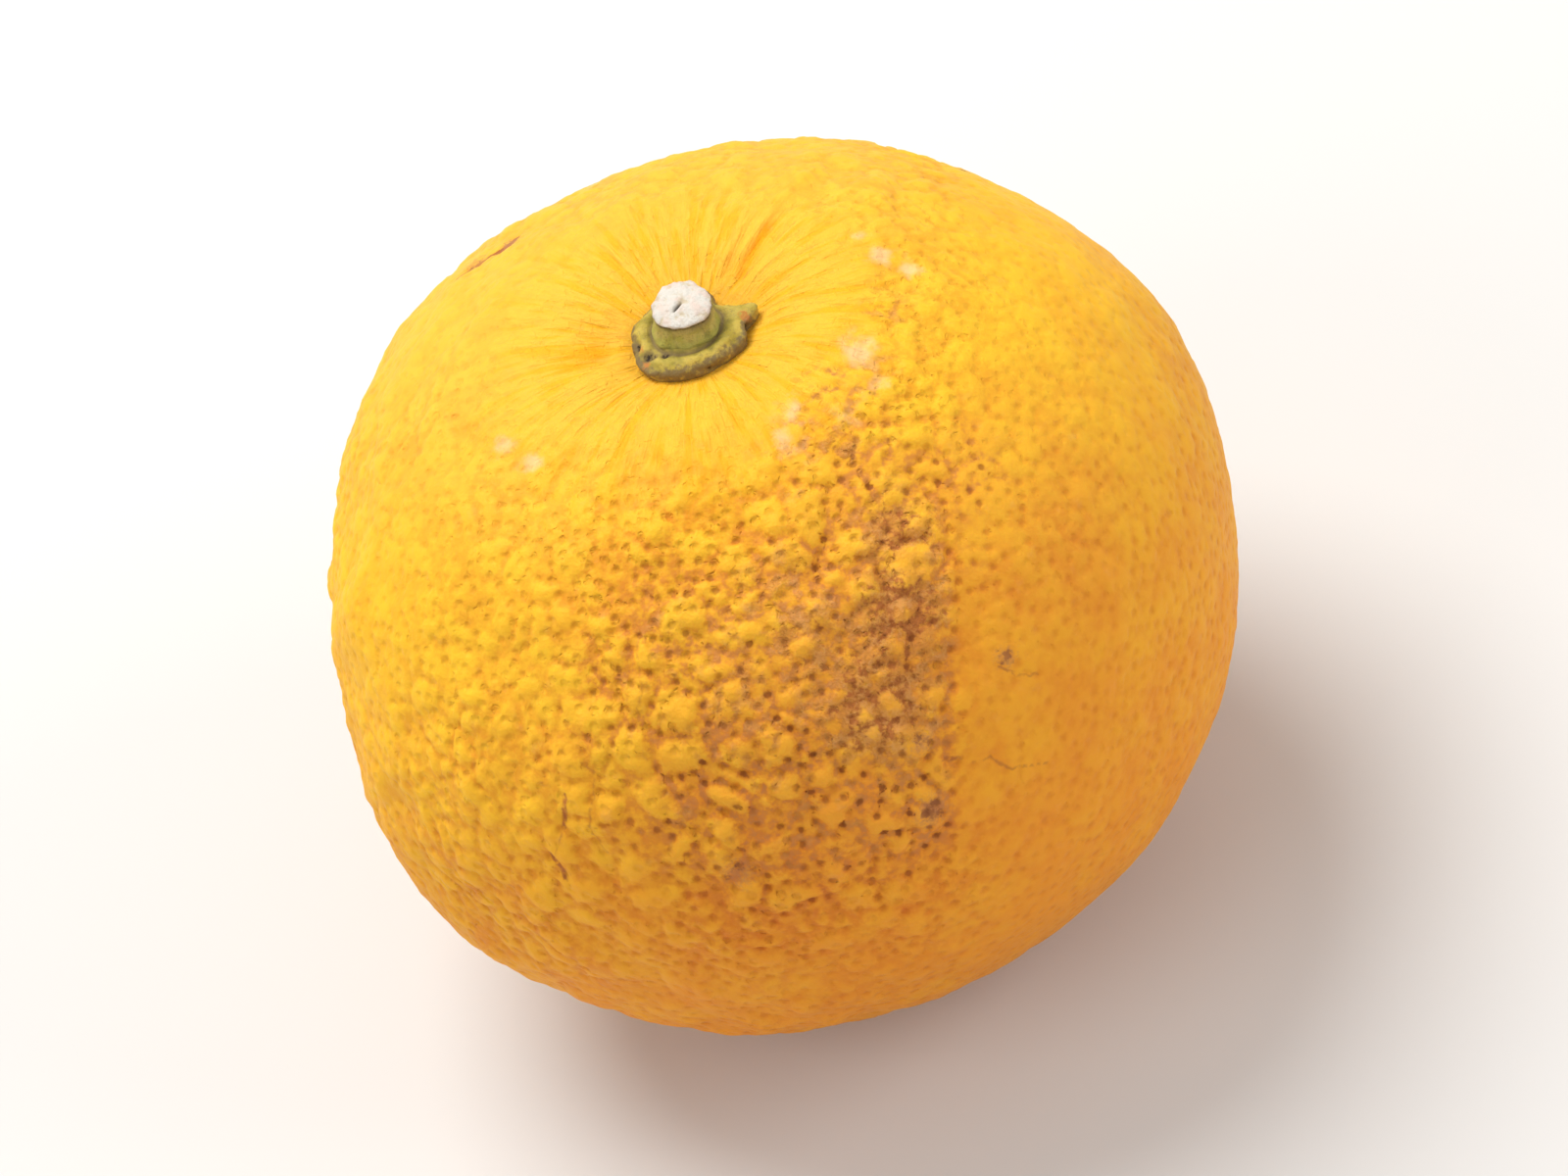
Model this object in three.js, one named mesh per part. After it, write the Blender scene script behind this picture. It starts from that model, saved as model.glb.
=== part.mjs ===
// A whole yuzu as picked: the fruit, the calyx button in its stem basin, and the cut stub of its stalk.
// Millimetres, +Z up along the fruit's core. The origin is the middle of the flat spot that it rests on.
import * as THREE from "three";

const fruit = {
  equatorRadius: 35, // half the width across the widest part
  poleRadius: 30.6, // half the height, before the basin and the resting spot
  fullness: 2.12, // 2 is an ellipse, and more gives squarer shoulders
  basinDepth: 3.3, // the hollow that the stalk stands in
  basinRadius: 8.6,
  seatRadius: 5.7, // level floor of the hollow, under the calyx
  seatBlend: 4.5, // width over which the floor runs out into the peel
  restRadius: 7.5, // flat spot at the blossom end
  areoleRadius: 11, // faint ring furrow round the blossom end
  areoleDepth: 0.3,
  areoleWidth: 1.8,
  columns: 112,
  rows: 52,
  rowCrowding: 1.2, // over 1 draws the rows together towards the stem
};

// Creases that run out of the basin: azimuth in degrees, depth, width and reach in millimetres.
const furrowStart = 4.5;
const furrowRamp = 3;
const furrows = [
  { azimuth: 8, depth: 0.4, width: 1.2, reach: 9 },
  { azimuth: 40, depth: 0.85, width: 1.5, reach: 17 },
  { azimuth: 52, depth: 0.55, width: 1.1, reach: 13 },
  { azimuth: 84, depth: 0.45, width: 1.3, reach: 10 },
  { azimuth: 118, depth: 0.5, width: 1.4, reach: 11 },
  { azimuth: 151, depth: 0.7, width: 1.4, reach: 13 },
  { azimuth: 172, depth: 0.85, width: 1.3, reach: 14 },
  { azimuth: 206, depth: 0.5, width: 1.2, reach: 10 },
  { azimuth: 236, depth: 0.35, width: 1.2, reach: 8 },
  { azimuth: 268, depth: 0.3, width: 1.2, reach: 8 },
  { azimuth: 300, depth: 0.35, width: 1.3, reach: 9 },
  { azimuth: 335, depth: 0.35, width: 1.2, reach: 9 },
];

// Broad swells and hollows that make the fruit uneven: degrees, and height in millimetres.
const swellWidth = 16;
const swells = [
  { azimuth: 11, latitude: 10, height: 1.0 },
  { azimuth: 133, latitude: 33, height: 0.35 },
  { azimuth: 170, latitude: 8, height: -1.05 },
  { azimuth: -158, latitude: -18, height: 1.25 },
  { azimuth: -125, latitude: -35, height: 0.45 },
  { azimuth: -47, latitude: -33, height: 0.2 },
];

// Lumpy relief of the thick peel, as seeded waves in every direction.
const reliefBands = [
  { seed: 54, count: 28, wavelength: 15, height: 0.1 },
  { seed: 48, count: 36, wavelength: 7.5, height: 0.09 },
  { seed: 58, count: 40, wavelength: 5, height: 0.09 },
];
// The relief dies away over these distances from the calyx's seat and from the resting spot.
const reliefFade = { stem: 12, rest: 4 };
// One cheek is smoother: its middle, radius and soft edge in degrees, and the share of relief left on it.
const cheek = { azimuth: -15, latitude: -14, radius: 68, edge: 12, relief: 0.35 };

const calyx = {
  rimRadius: 4.1, // between the lobes
  rimHeight: 1.1,
  crownRadius: 2.75, // level top that carries the stalk
  crownHeight: 1.65,
  columns: 60,
};
// Five sepal lobes and a torn gap: azimuth and half-width in degrees, reach from the axis in millimetres.
const lobes = [
  { azimuth: 358, reach: 5.5, halfWidth: 10 },
  { azimuth: 30, reach: 3.3, halfWidth: 15 },
  { azimuth: 76, reach: 4.5, halfWidth: 20 },
  { azimuth: 148, reach: 4.45, halfWidth: 22 },
  { azimuth: 214, reach: 4.6, halfWidth: 28 },
  { azimuth: 328, reach: 4.75, halfWidth: 20 },
];

const stub = {
  radius: 2.4,
  height: 2.2,
  lean: new THREE.Vector2(0.11, 0.02), // sideways travel for each millimetre of height
  cutSlope: 0.15, // the cut falls away towards -Y
  columns: 32,
};

const degrees = THREE.MathUtils.degToRad;
const lerp = THREE.MathUtils.lerp;
const smooth = (t) => THREE.MathUtils.smoothstep(t, 0, 1);
const bell = (t) => Math.exp(-t * t);
const turnBetween = (a, b) => THREE.MathUtils.euclideanModulo(a - b + Math.PI, 2 * Math.PI) - Math.PI;

function direction(azimuth, latitude) {
  const across = Math.cos(degrees(latitude));
  const [x, y] = [Math.cos(degrees(azimuth)), Math.sin(degrees(azimuth))];
  return new THREE.Vector3(across * x, across * y, Math.sin(degrees(latitude)));
}

function seededRandom(seed) {
  let state = seed;
  return () => {
    state = (state + 0x6d2b79f5) >>> 0;
    let mixed = Math.imul(state ^ (state >>> 15), 1 | state);
    mixed = (mixed + Math.imul(mixed ^ (mixed >>> 7), 61 | mixed)) ^ mixed;
    return ((mixed ^ (mixed >>> 14)) >>> 0) / 2 ** 32;
  };
}

// One band of relief: plane waves of nearly one length, each with its own direction and phase.
function waveField({ seed, count, wavelength, height }) {
  const random = seededRandom(seed);
  const waves = Array.from({ length: count }, () => {
    const z = 2 * random() - 1;
    const turn = 2 * Math.PI * random();
    const stretch = 0.8 + 0.4 * random();
    const across = Math.sqrt(1 - z * z);
    const along = new THREE.Vector3(across * Math.cos(turn), across * Math.sin(turn), z);
    along.multiplyScalar((2 * Math.PI * stretch) / wavelength);
    return { along, phase: 2 * Math.PI * random() };
  });
  const size = height * Math.sqrt(2 / count);
  const sway = (point, wave) => size * Math.sin(wave.along.dot(point) + wave.phase);
  return (point) => waves.reduce((sum, wave) => sum + sway(point, wave), 0);
}

const reliefFields = reliefBands.map(waveField);
const swellCentres = swells.map(({ azimuth, latitude }) => direction(azimuth, latitude));
const cheekCentre = direction(cheek.azimuth, cheek.latitude);

// Heights above the fruit's centre of the flat spot and of the calyx's seat.
const restShare = (fruit.restRadius / fruit.equatorRadius) ** fruit.fullness;
const restLevel = -fruit.poleRadius * (1 - restShare) ** (1 / fruit.fullness);
const seatLevel = fruit.poleRadius - fruit.basinDepth;

// How far the peel stands out from the plain round form there.
function peelHeight(point, radius, azimuth, isTop) {
  const unit = point.clone().normalize();
  let height = 0;
  swells.forEach((swell, i) => {
    height += swell.height * bell(unit.distanceTo(swellCentres[i]) / degrees(swellWidth));
  });
  const fromStem = (radius - fruit.seatRadius) / reliefFade.stem;
  const fromRest = (radius - fruit.restRadius) / reliefFade.rest;
  const offCheek = smooth((unit.angleTo(cheekCentre) - degrees(cheek.radius)) / degrees(cheek.edge) + 0.5);
  const share = smooth(isTop ? fromStem : fromRest) * lerp(cheek.relief, 1, offCheek);
  height += share * reliefFields.reduce((sum, field) => sum + field(point), 0);
  if (!isTop) return height - fruit.areoleDepth * bell((radius - fruit.areoleRadius) / fruit.areoleWidth);

  height -= fruit.basinDepth * bell(radius / fruit.basinRadius);
  for (const furrow of furrows) {
    const across = turnBetween(azimuth, degrees(furrow.azimuth)) * radius;
    const width = furrow.width * (0.6 + radius / 12); // wider as it runs out
    const along = smooth((radius - furrowStart) / furrowRamp) * Math.exp(-((radius / furrow.reach) ** 4));
    height -= furrow.depth * along * bell(across / width);
  }
  return height;
}

// A point of the fruit's skin, at an angle from the stem end and an azimuth, in radians.
function skinPoint(angle, azimuth) {
  const { equatorRadius, poleRadius, fullness, seatRadius, seatBlend } = fruit;
  const [sine, cosine] = [Math.sin(angle), Math.cos(angle)];
  const size = (Math.abs(sine) ** fullness + Math.abs(cosine) ** fullness) ** (-1 / fullness);
  const radius = equatorRadius * sine * size;
  const level = poleRadius * cosine * size;
  const slopeOut = (Math.abs(radius) / equatorRadius) ** (fullness - 1) / equatorRadius;
  const slopeUp = (Math.sign(level) * (Math.abs(level) / poleRadius) ** (fullness - 1)) / poleRadius;
  const around = new THREE.Vector3(Math.cos(azimuth), Math.sin(azimuth), 0);
  const point = around.clone().multiplyScalar(radius).setZ(level);
  const normal = around.clone().multiplyScalar(slopeOut).setZ(slopeUp).normalize();

  const isTop = angle < Math.PI / 2;
  const skin = point.clone().addScaledVector(normal, peelHeight(point, radius, azimuth, isTop));
  const fromSeat = smooth((Math.hypot(skin.x, skin.y) - seatRadius) / seatBlend);
  if (isTop) skin.z = lerp(seatLevel, skin.z, fromSeat);
  skin.z = Math.max(skin.z, restLevel) - restLevel;
  return skin;
}

function fruitGeometry() {
  const geometry = new THREE.SphereGeometry(1, fruit.columns, fruit.rows);
  const { position, uv } = geometry.attributes;
  for (let i = 0; i < position.count; i++) {
    const angle = Math.PI * (1 - uv.getY(i)) ** fruit.rowCrowding;
    const skin = skinPoint(angle, 2 * Math.PI * uv.getX(i));
    position.setXYZ(i, skin.x, skin.y, skin.z);
  }
  geometry.computeVertexNormals();
  return geometry;
}

// Turns a profile of (radius, height) pairs about +Z, then lets shape move each point.
function turned(profile, columns, shape) {
  const points = profile.map(([radius, height]) => new THREE.Vector2(radius, height));
  const geometry = new THREE.LatheGeometry(points, columns).rotateX(Math.PI / 2);
  const { position } = geometry.attributes;
  for (let i = 0; i < position.count; i++) {
    const point = new THREE.Vector3().fromBufferAttribute(position, i);
    shape(point, Math.hypot(point.x, point.y), Math.atan2(point.y, point.x));
    position.setXYZ(i, point.x, point.y, point.z);
  }
  geometry.computeVertexNormals();
  return geometry;
}

function rimReach(azimuth) {
  return lobes.reduce((reach, lobe) => {
    const share = bell(turnBetween(azimuth, degrees(lobe.azimuth)) / degrees(lobe.halfWidth));
    return reach + (lobe.reach - calyx.rimRadius) * share;
  }, calyx.rimRadius);
}

function calyxGeometry() {
  const { rimRadius, rimHeight, crownRadius, crownHeight, columns } = calyx;
  const profile = [
    [0, 0],
    [crownRadius, 0],
    [rimRadius * 0.93, 0],
    [rimRadius, rimHeight * 0.35],
    [rimRadius * 0.98, rimHeight * 0.8],
    [rimRadius * 0.9, rimHeight * 1.12],
    [lerp(crownRadius, rimRadius, 0.35), lerp(rimHeight, crownHeight, 0.6)],
    [crownRadius * 1.06, crownHeight * 0.93],
    [crownRadius, crownHeight],
    [0, crownHeight],
  ];
  return turned(profile, columns, (point, radius, azimuth) => {
    const outward = smooth((radius - crownRadius) / (rimRadius - crownRadius));
    const stretch = lerp(1, rimReach(azimuth) / rimRadius, outward);
    point.x *= stretch;
    point.y *= stretch;
  });
}

function stubGeometry() {
  const { radius, height, lean, cutSlope, columns } = stub;
  const profile = [
    [0, 0],
    [radius, 0],
    [radius * 1.04, height * 0.15],
    [radius * 0.97, height * 0.45],
    [radius, height * 0.75],
    [radius * 0.9, height * 0.92],
    [radius * 0.55, height],
    [0, height],
  ];
  return turned(profile, columns, (point, _, azimuth) => {
    const section = 1 + 0.04 * Math.cos(2 * azimuth + 1) + 0.03 * Math.cos(3 * azimuth + 2);
    const slope = (cutSlope * point.z * point.y) / height;
    point.x = point.x * section + lean.x * point.z;
    point.y = point.y * section + lean.y * point.z;
    point.z += slope;
  });
}

function piece(name, geometry, color, roughness, level = 0) {
  const mesh = new THREE.Mesh(geometry, new THREE.MeshStandardMaterial({ color, roughness, metalness: 0 }));
  mesh.name = name;
  mesh.position.z = level;
  return mesh;
}

const yuzu = new THREE.Group();
const seatHeight = seatLevel - restLevel;
yuzu.add(piece("fruit", fruitGeometry(), "#f6b32c", 0.5));
yuzu.add(piece("calyx", calyxGeometry(), "#9a8f3c", 0.75, seatHeight));
yuzu.add(piece("stem_stub", stubGeometry(), "#d9ccae", 0.85, seatHeight + calyx.crownHeight));

export default yuzu;
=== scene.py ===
import math
import bpy
import numpy as np
from mathutils import Matrix, Vector, kdtree, noise


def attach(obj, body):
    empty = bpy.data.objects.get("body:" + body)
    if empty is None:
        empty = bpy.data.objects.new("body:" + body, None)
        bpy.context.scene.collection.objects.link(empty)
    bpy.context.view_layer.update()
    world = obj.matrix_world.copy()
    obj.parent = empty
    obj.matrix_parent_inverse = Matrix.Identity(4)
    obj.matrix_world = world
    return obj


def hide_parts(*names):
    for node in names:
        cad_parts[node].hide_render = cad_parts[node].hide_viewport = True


mm = 0.001
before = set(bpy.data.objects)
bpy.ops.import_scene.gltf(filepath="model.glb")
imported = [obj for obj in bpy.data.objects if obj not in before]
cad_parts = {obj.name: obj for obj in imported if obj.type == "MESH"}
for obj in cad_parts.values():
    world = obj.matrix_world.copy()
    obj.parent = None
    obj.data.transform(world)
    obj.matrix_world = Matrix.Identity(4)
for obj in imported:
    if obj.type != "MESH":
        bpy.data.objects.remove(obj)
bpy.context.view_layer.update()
print("frame loaded:", len(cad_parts), "solids")

seedStep = Vector((17.3, 5.9, 11.1))  # how far the noise moves from one seed to the next


def smooth(t):
    t = np.clip(t, 0, 1)
    return t * t * (3 - 2 * t)


def ease(value, start, length):
    # 0 up to the start, 1 from that length beyond it
    return smooth((value - start) / length)


def bell(t):
    return np.exp(-t * t)


def mix(a, b, share):
    return a + (b - a) * share


def turnBetween(a, b):
    return (a - b + math.pi) % (2 * math.pi) - math.pi


def lengths(vectors):
    return np.linalg.norm(vectors, axis=-1)


def lineGap(points, start, span):
    # how far each point is from the line that starts there and ends a span further on
    along = np.sum((points - start) * span, -1) / np.sum(span * span, -1)
    return lengths(points - start - span * np.clip(along, 0, 1)[:, None])


def aroundCore(radius, azimuth, height):
    # points at that distance from the core, turned by the azimuth, at that height
    parts = np.broadcast_arrays(radius * np.cos(azimuth), radius * np.sin(azimuth), height)
    return np.stack(parts, -1)


def direction(azimuth, latitude):
    azimuth, latitude = np.radians(azimuth), np.radians(latitude)
    return aroundCore(np.cos(latitude), azimuth, np.sin(latitude))


def noiseAt(points, size, seed):
    # soft noise from about -1 to 1, with lumps of that size in millimetres
    shift = seedStep * seed
    return np.array([noise.noise(Vector(p) / size + shift) for p in points])


def noiseVector(points, size, seeds):
    return np.stack([noiseAt(points, size, seed) for seed in seeds], -1)


def searchTree(points):
    tree = kdtree.KDTree(len(points))
    for i, point in enumerate(points):
        tree.insert(point, i)
    tree.balance()
    return tree


view = {
    "elevation": 46.3,     # degrees above the horizon
    "roll": 20.0,          # the fruit's core leans this far to the left in the frame
    "distance": 0.600,
    "frameWidth": 0.1195,  # what the frame takes in, at the fruit
    "sensorWidth": 36,
    "clip": (0.01, 20),
    "aim": (0.0, 0.0, 0.0300),
    "offset": (0.0004, -0.0005),
}


def makeCamera():
    up = math.radians(view["elevation"])
    roll = math.radians(view["roll"])
    back = Vector((0, -math.cos(up), math.sin(up)))
    side, top = Vector((1, 0, 0)), Vector((0, math.sin(up), math.cos(up)))
    right = math.cos(roll) * side - math.sin(roll) * top
    above = math.sin(roll) * side + math.cos(roll) * top
    aim = Vector(view["aim"]) + view["offset"][0] * right + view["offset"][1] * above
    data = bpy.data.cameras.new("camera")
    data.sensor_width = view["sensorWidth"]
    data.lens = data.sensor_width * view["distance"] / view["frameWidth"]
    data.clip_start, data.clip_end = view["clip"]
    camera = bpy.data.objects.new("camera", data)
    bpy.context.collection.objects.link(camera)
    turn = Matrix((right, above, back)).transposed().to_4x4()
    camera.matrix_world = Matrix.Translation(aim + back * view["distance"]) @ turn
    bpy.context.scene.camera = camera


studio = {
    "floorSize": 4.0,
    "floorColor": (0.73, 0.73, 0.725),
    "floorRoughness": 0.9,
    "floorSpecular": 0.1,
    "skyColor": (1.0, 0.99, 0.97),
    "skyStrength": 0.44,
    # name, azimuth, elevation, distance, size, power in watts, colour
    "lamps": [
        ("key", 118, 62, 0.80, 0.60, 6.3, (1.0, 0.98, 0.95)),
        ("side", -20, 28, 0.90, 0.60, 2.8, (1.0, 0.98, 0.96)),
        ("front", -152, 36, 0.90, 0.60, 1.75, (1.0, 0.98, 0.96)),
    ],
}


def makeStudio():
    bpy.ops.mesh.primitive_plane_add(size=studio["floorSize"])
    floor = bpy.context.object
    floor.name = "floor"
    paint = bpy.data.materials.new("pale floor")
    paint.use_nodes = True
    shader = paint.node_tree.nodes["Principled BSDF"]
    shader.inputs["Base Color"].default_value = (*studio["floorColor"], 1)
    shader.inputs["Roughness"].default_value = studio["floorRoughness"]
    shader.inputs["Specular IOR Level"].default_value = studio["floorSpecular"]
    floor.data.materials.append(paint)

    world = bpy.data.worlds.new("studio")
    bpy.context.scene.world = world
    world.use_nodes = True
    background = world.node_tree.nodes["Background"]
    background.inputs["Color"].default_value = (*studio["skyColor"], 1)
    background.inputs["Strength"].default_value = studio["skyStrength"]

    aim = Vector(view["aim"])
    for name, azimuth, elevation, distance, size, power, color in studio["lamps"]:
        data = bpy.data.lights.new(name, "AREA")
        data.shape = "DISK"
        data.size, data.energy, data.color = size, power, color
        lamp = bpy.data.objects.new(name, data)
        bpy.context.collection.objects.link(lamp)
        lamp.location = aim + Vector(direction(azimuth, elevation)) * distance
        lamp.rotation_euler = (aim - lamp.location).to_track_quat("-Z", "Y").to_euler()
    bpy.context.scene.view_settings.view_transform = "Standard"


makeCamera()
makeStudio()
print("camera and studio ready")


def newMaterial(name):
    material = bpy.data.materials.new(name)
    material.use_nodes = True
    tree = material.node_tree
    return material, tree, tree.nodes["Principled BSDF"]


def wire(value, socket):
    if isinstance(value, bpy.types.NodeSocket):
        socket.id_data.links.new(value, socket)
    elif isinstance(value, tuple) and len(value) == 3 and socket.type == "RGBA":
        socket.default_value = (*value, 1)
    else:
        socket.default_value = value


def finishShader(shader, color, roughness, normal, plain):
    wire(color, shader.inputs["Base Color"])
    wire(roughness, shader.inputs["Roughness"])
    wire(normal, shader.inputs["Normal"])
    for name, value in plain.items():
        wire(value, shader.inputs[name])


def attribute(tree, name, output="Fac"):
    node = tree.nodes.new("ShaderNodeAttribute")
    node.attribute_name = name
    return node.outputs[output]


def attributes(tree, names):
    return [attribute(tree, name) for name in names.split()]


def grain(tree, size, detail=2.0, roughness=0.5, place=None):
    # noise from 0 to 1 with grains of that size in millimetres
    place = place or tree.nodes.new("ShaderNodeTexCoord").outputs["Object"]
    node = tree.nodes.new("ShaderNodeTexNoise")
    wire(place, node.inputs["Vector"])
    node.inputs["Scale"].default_value = 1 / (size * mm)
    node.inputs["Detail"].default_value = detail
    node.inputs["Roughness"].default_value = roughness
    return node.outputs["Fac"]


def newNode(kind, value):
    # a node of that kind in the same tree as the value
    return value.id_data.nodes.new("ShaderNode" + kind)


def mathNode(operation, a, b):
    node = newNode("Math", a if isinstance(a, bpy.types.NodeSocket) else b)
    node.operation = operation
    wire(a, node.inputs[0])
    wire(b, node.inputs[1])
    return node.outputs[0]


def plus(total, *others):
    for other in others:
        total = mathNode("ADD", total, other)
    return total


def times(product, *others):
    for other in others:
        product = mathNode("MULTIPLY", product, other)
    return product


def minus(a, b):
    return mathNode("SUBTRACT", a, b)


def larger(a, b):
    return mathNode("MAXIMUM", a, b)


def ramp(value, start, end, low=0.0, high=1.0):
    # eases from low to high as the value goes from start to end
    node = newNode("MapRange", value)
    node.interpolation_type = "SMOOTHSTEP"
    names = ("Value", "From Min", "From Max", "To Min", "To Max")
    for name, given in zip(names, (value, start, end, low, high)):
        wire(given, node.inputs[name])
    return node.outputs["Result"]


def sway(value, amount, edge=0.3):
    # a grain from 0 to 1 made into a shift of up to the amount either way
    return ramp(value, edge, 1 - edge, -amount, amount)


def blendColor(share, a, b, way="MIX"):
    node = newNode("Mix", share)
    node.data_type = "RGBA"
    node.blend_type = way
    wire(share, node.inputs["Factor"])
    wire(a, node.inputs[6])  # the two colour sockets
    wire(b, node.inputs[7])
    return node.outputs[2]


def coats(color, paint, layers):
    # lays each named paint or mixed colour over the last, as far as its share goes
    for share, tint, *way in layers:
        tint = paint[tint] if isinstance(tint, str) else tint
        color = blendColor(share, color, tint, *way)
    return color


def vectorLength(vector):
    node = newNode("VectorMath", vector)
    node.operation = "LENGTH"
    wire(vector, node.inputs[0])
    return node.outputs["Value"]


def bump(height, depth, under=None):
    node = newNode("Bump", height)
    wire(height, node.inputs["Height"])
    node.inputs["Distance"].default_value = depth * mm
    if under:
        wire(under, node.inputs["Normal"])
    return node.outputs["Normal"]


def meshPiece(name, points, faces, material, fields):
    mesh = bpy.data.meshes.new(name)
    mesh.from_pydata((np.asarray(points) * mm).tolist(), [], faces)
    mesh.validate()
    for fieldName, values in fields.items():
        values = np.asarray(values, dtype=np.float32)
        kind, key = ("FLOAT", "value") if values.ndim == 1 else ("FLOAT_VECTOR", "vector")
        mesh.attributes.new(fieldName, kind, "POINT").data.foreach_set(key, values.ravel())
    mesh.shade_smooth()
    mesh.materials.append(material)
    piece = bpy.data.objects.new(name, mesh)
    bpy.context.collection.objects.link(piece)
    return piece


fruit = {
    "equatorRadius": 35.0,
    "poleRadius": 30.6,
    "fullness": 2.12,
    "meanRadius": 33.2,    # of the whole skin, for spreading the pores
    "markRadius": 33,      # marks are measured on a ball of this radius
    "basinDepth": 3.3,
    "basinRadius": 8.6,
    "hug": (3.2, 4.2),     # the seat is level out to the first, and blends in over the second
    "restRadius": 7.5,
    "areoleRadius": 11.0,
    "areoleDepth": 0.3,
    "areoleWidth": 1.8,
    "stemRelief": (5.7, 12.0),  # where the low relief begins, and how far out it is full
    "restFade": 4.0,
    "swellWidth": 16.0,
    # the smoother cheek: azimuth, latitude, radius, soft edge, share of the relief
    "cheek": {"azimuth": -15, "latitude": -14, "radius": 68, "edge": 12, "relief": 0.35},
    # azimuth, depth, width, reach of each crease that runs out of the basin
    "creases": [
        (8, 0.40, 1.2, 9), (40, 0.60, 0.8, 17), (52, 0.35, 0.6, 13), (84, 0.45, 1.3, 10),
        (118, 0.50, 1.4, 11), (151, 0.70, 1.4, 13), (172, 0.85, 1.3, 14), (206, 0.50, 1.2, 10),
        (236, 0.35, 1.2, 8), (268, 0.30, 1.2, 8), (300, 0.35, 1.3, 9), (335, 0.35, 1.2, 9),
        # the finer folds beside them
        (36, 0.42, 0.32, 16), (42.5, 0.50, 0.32, 17), (49, 0.50, 0.30, 15), (60, 0.22, 0.4, 12),
        (68, 0.18, 0.5, 12), (98, 0.14, 0.5, 11), (176, 0.15, 0.5, 12),
    ],
    "creaseStart": (4.5, 3),    # how far from the core each begins, and how soon it is full
    "creaseSpread": (0.6, 12),  # share of the width at the core, and how far out it grows by one
    # azimuth, latitude, height of each broad swell
    "swells": [
        (11, 10, 1.0), (133, 33, 0.35), (170, 8, -1.05), (-158, -18, 1.25), (-125, -35, 0.45),
        (-47, -33, 0.2),
    ],
    # seed, number of waves, wavelength, height
    "reliefBands": [(54, 28, 15.0, 0.10), (48, 36, 7.5, 0.09), (58, 40, 5.0, 0.09)],
}


def seededRandom(seed):
    # the same plain generator that shaped the solid, so both have the same relief
    state = seed
    full = 0xFFFFFFFF
    while True:
        state = (state + 0x6D2B79F5) & full
        mixed = ((state ^ (state >> 15)) * (1 | state)) & full
        mixed = ((mixed + ((mixed ^ (mixed >> 7)) * (61 | mixed) & full)) & full) ^ mixed
        yield ((mixed ^ (mixed >> 14)) & full) / 2 ** 32


def relief(points, seed, count, wavelength, height):
    draw = seededRandom(seed)
    total = np.zeros(len(points))
    for _ in range(count):
        z = 2 * next(draw) - 1
        turn = 2 * math.pi * next(draw)
        stretch = 0.8 + 0.4 * next(draw)
        across = math.sqrt(1 - z * z)
        heading = np.array([across * math.cos(turn), across * math.sin(turn), z])
        along = heading * 2 * math.pi * stretch / wavelength
        total += np.sin(points @ along + 2 * math.pi * next(draw))
    return total * height * math.sqrt(2 / count)


restShare = (fruit["restRadius"] / fruit["equatorRadius"]) ** fruit["fullness"]
restLevel = -fruit["poleRadius"] * (1 - restShare) ** (1 / fruit["fullness"])
seatLevel = fruit["poleRadius"] - fruit["basinDepth"]
seatHeight = seatLevel - restLevel


def formAngle(across, level):
    # the plain form's angle from the stem for a direction that goes so far out and so far up
    return np.arctan2(across / fruit["equatorRadius"], level / fruit["poleRadius"])


def plainForm(angle, azimuth):
    # the plain round form: points from its middle, outward normals, and distance from the core
    power = fruit["fullness"]
    sine, cosine = np.sin(angle), np.cos(angle)
    size = (np.abs(sine) ** power + np.abs(cosine) ** power) ** (-1 / power)
    radius, level = fruit["equatorRadius"] * sine * size, fruit["poleRadius"] * cosine * size
    out = (np.abs(radius) / fruit["equatorRadius"]) ** (power - 1) / fruit["equatorRadius"]
    steep = (np.abs(level) / fruit["poleRadius"]) ** (power - 1)
    rise = np.sign(level) * steep / fruit["poleRadius"]
    length = np.hypot(out, rise)
    points = aroundCore(radius, azimuth, level)
    return points, aroundCore(out / length, azimuth, rise / length), radius


def offCheek(unit, edge):
    # 0 on the smooth cheek, 1 beyond its soft edge
    cheek = fruit["cheek"]
    facing = unit @ direction(cheek["azimuth"], cheek["latitude"])
    gap = np.degrees(np.arccos(np.clip(facing, -1, 1)))
    return smooth((gap - cheek["radius"]) / edge + 0.5)


def bodyHeight(points, radius, azimuth, isTop):
    # swells, low relief, basin and creases, as on the solid, and how deep in a crease each point is
    unit = points / lengths(points)[:, None]
    height = np.zeros(len(points))
    for swellAzimuth, latitude, amount in fruit["swells"]:
        gap = lengths(unit - direction(swellAzimuth, latitude))
        height += amount * bell(gap / math.radians(fruit["swellWidth"]))
    cheek = fruit["cheek"]
    fromStem = ease(radius, *fruit["stemRelief"])
    share = np.where(isTop, fromStem, ease(radius, fruit["restRadius"], fruit["restFade"]))
    share = share * mix(cheek["relief"], 1, offCheek(unit, cheek["edge"]))
    for band in fruit["reliefBands"]:
        height += share * relief(points, *band)
    areole = fruit["areoleDepth"] * bell((radius - fruit["areoleRadius"]) / fruit["areoleWidth"])
    basin = fruit["basinDepth"] * bell(radius / fruit["basinRadius"])
    height -= np.where(isTop, basin, areole)
    folded = np.zeros(len(points))
    begun = ease(radius, *fruit["creaseStart"])
    narrow, spread = fruit["creaseSpread"]
    for creaseAzimuth, depth, width, reach in fruit["creases"]:
        across = turnBetween(azimuth, math.radians(creaseAzimuth)) * radius
        along = begun * np.exp(-(radius / reach) ** 4) * isTop
        crease = along * bell(across / (width * (narrow + radius / spread)))
        height -= depth * crease
        folded += depth * crease
    return height, folded


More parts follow.
